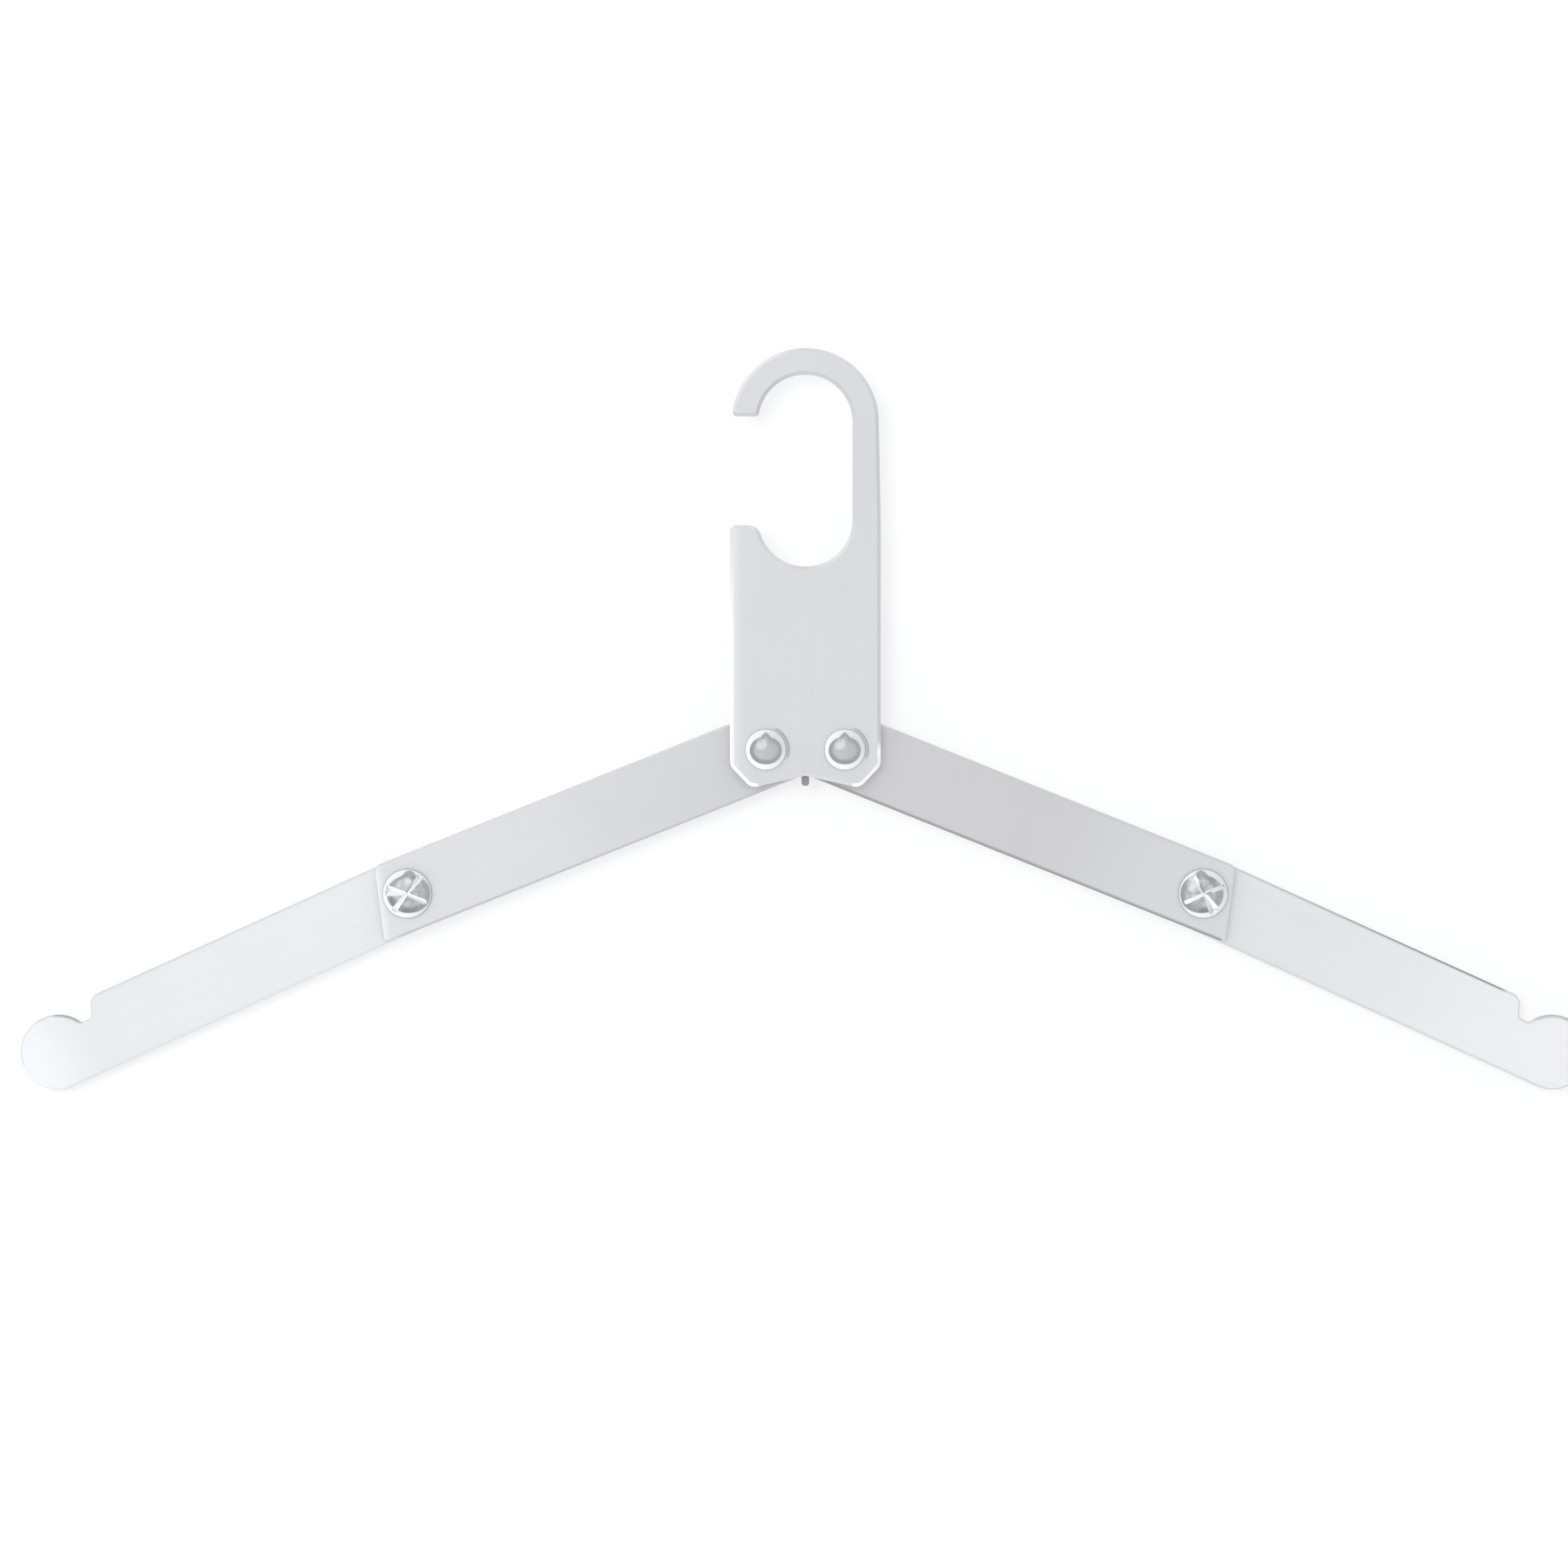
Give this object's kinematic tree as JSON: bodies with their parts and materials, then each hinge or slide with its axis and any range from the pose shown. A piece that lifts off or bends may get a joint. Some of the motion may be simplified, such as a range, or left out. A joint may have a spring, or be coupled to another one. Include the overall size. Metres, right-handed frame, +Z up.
{
  "type": "folding travel hanger",
  "caption": "Folding clothes hanger of flat metal: a plate with an open hook carries hinged arms that fold up and back behind it, with a strap notch near each tip.",
  "frame": {"origin": "centre of the hook's inner arc, half way through the hook plate", "axes": "+X to the right and +Z up seen from the front, which faces -Y; the hook opens towards -X"},
  "size_m": [0.4198, 0.0139, 0.1975],
  "materials": {
    "satin_aluminium": "fine satin, bright edges",
    "polished_steel": "mirror polished",
    "brushed_washer": "turned satin",
    "charcoal_nylon": "smooth matt"
  },
  "bodies": {
    "hook_plate": {"hook_plate": "satin_aluminium", "shoulder_yoke": "charcoal_nylon", "left_shoulder_rivet": "polished_steel", "left_shoulder_washer": "brushed_washer", "right_shoulder_rivet": "polished_steel", "right_shoulder_washer": "brushed_washer"},
    "left_upper_arm": {"left_upper_arm": "satin_aluminium", "left_elbow_screw": "polished_steel", "left_elbow_post": "polished_steel", "left_elbow_spacer": "charcoal_nylon", "left_elbow_back_washer": "brushed_washer", "left_elbow_stop_pin": "polished_steel"},
    "left_lower_arm": {"left_lower_arm": "satin_aluminium"},
    "right_upper_arm": {"right_upper_arm": "satin_aluminium", "right_elbow_screw": "polished_steel", "right_elbow_post": "polished_steel", "right_elbow_spacer": "charcoal_nylon", "right_elbow_back_washer": "brushed_washer", "right_elbow_stop_pin": "polished_steel"},
    "right_lower_arm": {"right_lower_arm": "satin_aluminium"}
  },
  "joints": [
    {"name": "left_shoulder", "type": "hinge", "parent": "hook_plate", "child": "left_upper_arm", "pos_m": [-0.0105, 0, -0.0871], "axis": [0, 1, 0], "range_deg": [0, 111.85]},
    {"name": "left_elbow", "type": "hinge", "parent": "left_upper_arm", "child": "left_lower_arm", "pos_m": [-0.1061, 0, -0.12543], "axis": [0, 1, 0], "range_deg": [0, 182.55]},
    {"name": "right_shoulder", "type": "hinge", "parent": "hook_plate", "child": "right_upper_arm", "pos_m": [0.0105, 0, -0.0871], "axis": [0, -1, 0], "range_deg": [0, 111.85]},
    {"name": "right_elbow", "type": "hinge", "parent": "right_upper_arm", "child": "right_lower_arm", "pos_m": [0.1061, 0, -0.12543], "axis": [0, -1, 0], "range_deg": [0, 182.55]}
  ]
}
